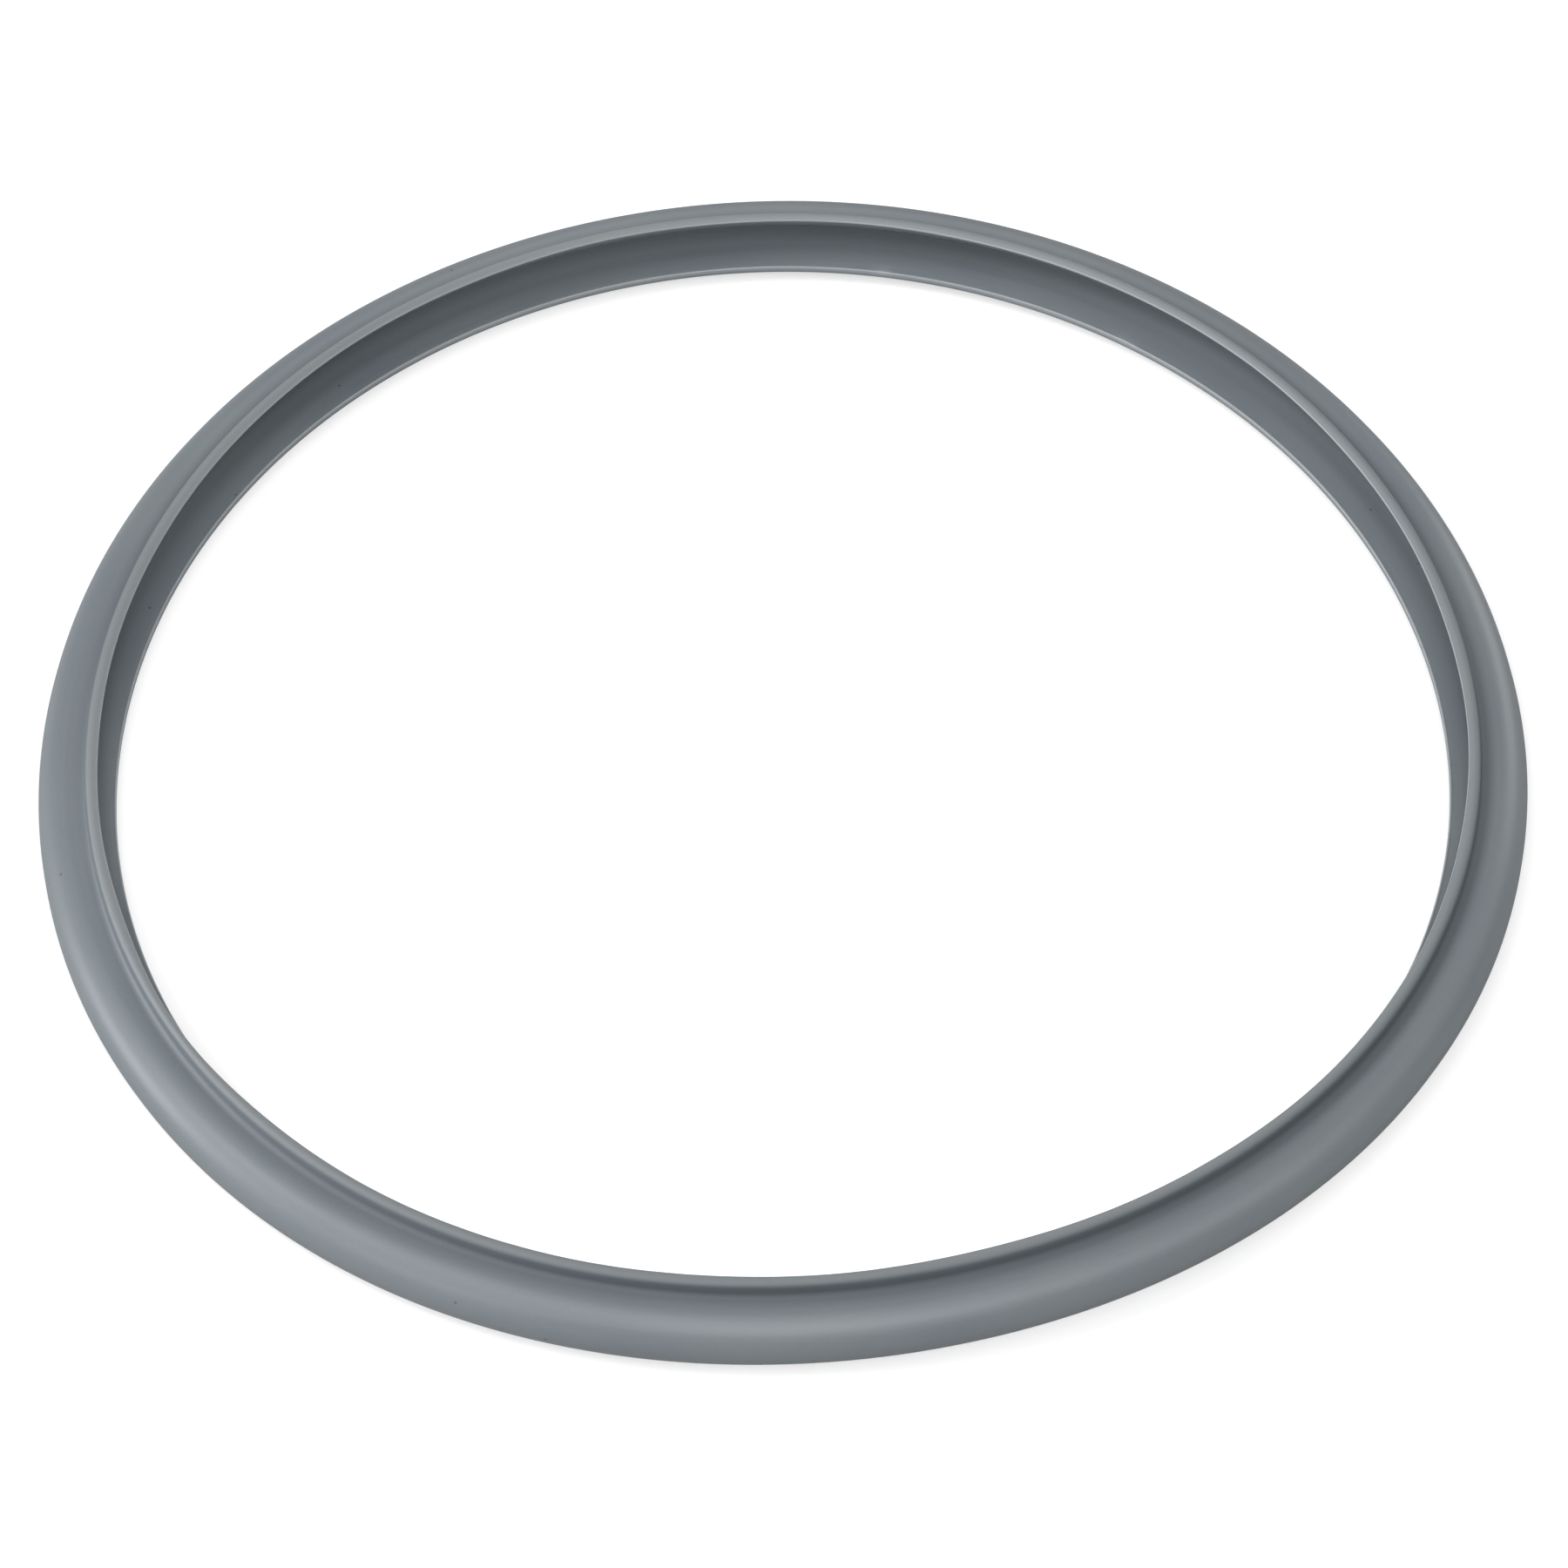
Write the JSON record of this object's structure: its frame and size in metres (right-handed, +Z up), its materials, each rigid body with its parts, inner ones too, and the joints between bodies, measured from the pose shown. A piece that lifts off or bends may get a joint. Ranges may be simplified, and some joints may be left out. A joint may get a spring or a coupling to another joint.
{
  "type": "pressure cooker sealing ring",
  "caption": "Round silicone lid gasket for a pressure cooker, with a rounded outer body and an inward groove between a raised upper lip and a longer lower lip.",
  "frame": {"origin": "centre of the ring, on the plane that its underside rests on", "axes": "+Z up along the ring's axis, from the longer lower lip towards the raised band; +X and +Y are any two directions across the ring"},
  "size_m": [0.22, 0.22, 0.0128],
  "materials": {
    "silicone": "satin"
  },
  "bodies": {
    "root": {"sealing_ring": "silicone"}
  },
  "joints": []
}
